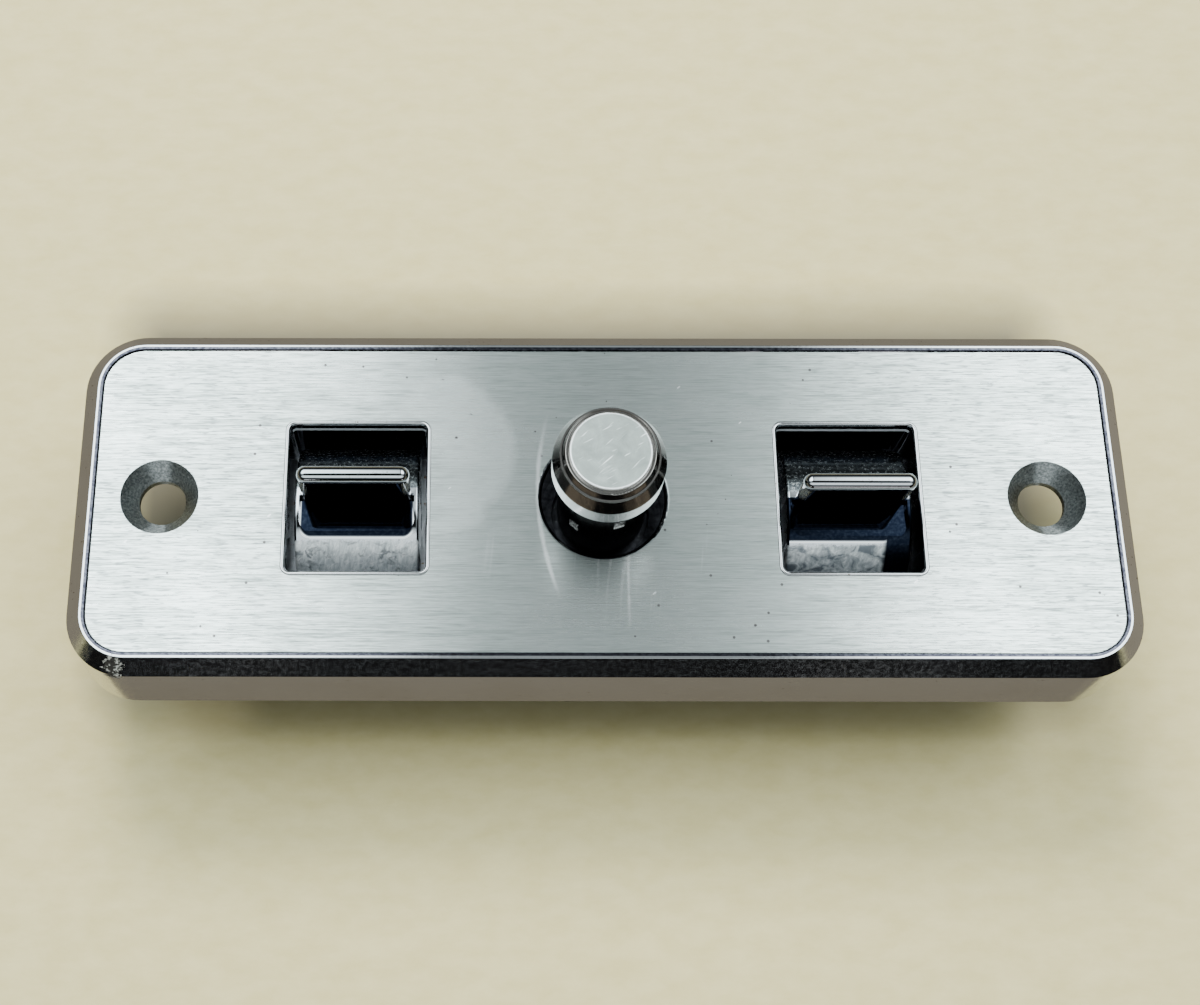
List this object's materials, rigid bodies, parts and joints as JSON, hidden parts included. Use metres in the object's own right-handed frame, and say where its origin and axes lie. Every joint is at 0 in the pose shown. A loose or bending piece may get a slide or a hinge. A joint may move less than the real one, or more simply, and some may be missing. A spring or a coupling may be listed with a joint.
{
  "type": "power window switch and lighter plate",
  "caption": "Long chromed bezel with a brushed face, spring-centred rocker switches with upright fins either side of a cigar lighter with a round knob, countersunk screw holes at the ends",
  "frame": {"origin": "midway between the two mounting screw holes, on the seat plane at their lower ends", "axes": "+X along the plate, +Y to its far long edge, +Z out of the brushed face; the face is 4.6 mm above the origin"},
  "size_m": [0.1832, 0.0638, 0.0632],
  "materials": {
    "chrome_plate": "bright chrome on zinc die-casting, face brushed lengthways",
    "satin_trim": "satin spun aluminium inlay",
    "zinc_plated": "dull zinc plate",
    "stamped_steel": "plated stamped sheet steel",
    "spring_steel": "bare spring wire",
    "phenolic": "moulded brown phenolic",
    "contact_brass": "tarnished contact brass",
    "blackened_steel": "gloss blackened steel",
    "ceramic": "pressed heat-proof washer",
    "heater_alloy": "oxidised heating ribbon",
    "steel": "plain steel pins and studs"
  },
  "bodies": {
    "plate_body": {"bezel": "chrome_plate", "switch_screws": "zinc_plated", "left_switch_case": "stamped_steel", "left_rocker_pin": "steel", "left_arm_pin": "steel", "left_spring_front": "spring_steel", "left_spring_rear": "spring_steel", "left_terminal_base": "phenolic", "left_feed_terminal": "contact_brass", "left_terminal_front": "contact_brass", "left_terminal_rear": "contact_brass", "right_switch_case": "stamped_steel", "right_rocker_pin": "steel", "right_arm_pin": "steel", "right_spring_front": "spring_steel", "right_spring_rear": "spring_steel", "right_terminal_base": "phenolic", "right_feed_terminal": "contact_brass", "right_terminal_front": "contact_brass", "right_terminal_rear": "contact_brass", "socket_shell": "stamped_steel", "clamp_ring": "zinc_plated", "inner_washer": "ceramic", "outer_washer": "phenolic", "heat_clip": "contact_brass", "centre_stud": "steel", "stud_nut": "zinc_plated", "stud_tag": "contact_brass", "ground_tag": "contact_brass"},
    "left_rocker_body": {"left_rocker": "chrome_plate"},
    "left_pusher_front_body": {"left_pusher_front": "phenolic"},
    "left_pusher_rear_body": {"left_pusher_rear": "phenolic"},
    "left_contact_arm_body": {"left_contact_arm": "contact_brass"},
    "right_rocker_body": {"right_rocker": "chrome_plate"},
    "right_pusher_front_body": {"right_pusher_front": "phenolic"},
    "right_pusher_rear_body": {"right_pusher_rear": "phenolic"},
    "right_contact_arm_body": {"right_contact_arm": "contact_brass"},
    "plug_body": {"plug_sleeve": "blackened_steel", "plug_spring": "spring_steel"},
    "knob_body": {"knob_cap": "chrome_plate", "knob_disc": "satin_trim", "plug_core": "phenolic", "plug_rod": "steel", "element_cup": "stamped_steel", "heating_coil": "heater_alloy"}
  },
  "joints": [
    {"name": "left_rocker_tilt", "type": "hinge", "parent": "plate_body", "child": "left_rocker_body", "pos_m": [-0.0423, 0, -0.0083], "axis": [1, 0, 0], "range_deg": [-9.5, 12.5], "stiffness_Nm_per_rad": 0.05},
    {"name": "left_pusher_front_slide", "type": "slide", "parent": "plate_body", "child": "left_pusher_front_body", "axis": [0, 0, 1], "range_m": [-0.00166, 0.00126], "deforming": ["left_spring_front"]},
    {"name": "left_pusher_rear_slide", "type": "slide", "parent": "plate_body", "child": "left_pusher_rear_body", "axis": [0, 0, 1], "range_m": [-0.00126, 0.00166], "deforming": ["left_spring_rear"]},
    {"name": "left_contact_arm_tilt", "type": "hinge", "parent": "plate_body", "child": "left_contact_arm_body", "pos_m": [-0.0423, 0, -0.0189], "axis": [1, 0, 0], "range_deg": [-9.6, 12.6]},
    {"name": "right_rocker_tilt", "type": "hinge", "parent": "plate_body", "child": "right_rocker_body", "pos_m": [0.0423, 0, -0.0083], "axis": [1, 0, 0], "range_deg": [-12.5, 9.5], "stiffness_Nm_per_rad": 0.05},
    {"name": "right_pusher_front_slide", "type": "slide", "parent": "plate_body", "child": "right_pusher_front_body", "axis": [0, 0, 1], "range_m": [-0.00126, 0.00166], "deforming": ["right_spring_front"]},
    {"name": "right_pusher_rear_slide", "type": "slide", "parent": "plate_body", "child": "right_pusher_rear_body", "axis": [0, 0, 1], "range_m": [-0.00166, 0.00126], "deforming": ["right_spring_rear"]},
    {"name": "right_contact_arm_tilt", "type": "hinge", "parent": "plate_body", "child": "right_contact_arm_body", "pos_m": [0.0423, 0, -0.0189], "axis": [1, 0, 0], "range_deg": [-12.6, 9.6]},
    {"name": "plug_lift", "type": "slide", "parent": "plate_body", "child": "plug_body", "axis": [0, 0, 1], "range_m": [0, 0.045]},
    {"name": "knob_push", "type": "slide", "parent": "plug_body", "child": "knob_body", "axis": [0, 0, 1], "range_m": [-0.005, 0], "stiffness_N_per_m": 350, "springref_m": 0.006, "deforming": ["plug_spring"]}
  ],
  "couplings": [
    {"joint": "left_pusher_front_slide", "follows": "left_rocker_tilt", "m_per_rad": -0.0075},
    {"joint": "left_pusher_rear_slide", "follows": "left_rocker_tilt", "m_per_rad": 0.0075},
    {"joint": "left_contact_arm_tilt", "follows": "left_rocker_tilt", "ratio": 1},
    {"joint": "right_pusher_front_slide", "follows": "right_rocker_tilt", "m_per_rad": -0.0075},
    {"joint": "right_pusher_rear_slide", "follows": "right_rocker_tilt", "m_per_rad": 0.0075},
    {"joint": "right_contact_arm_tilt", "follows": "right_rocker_tilt", "ratio": 1}
  ]
}
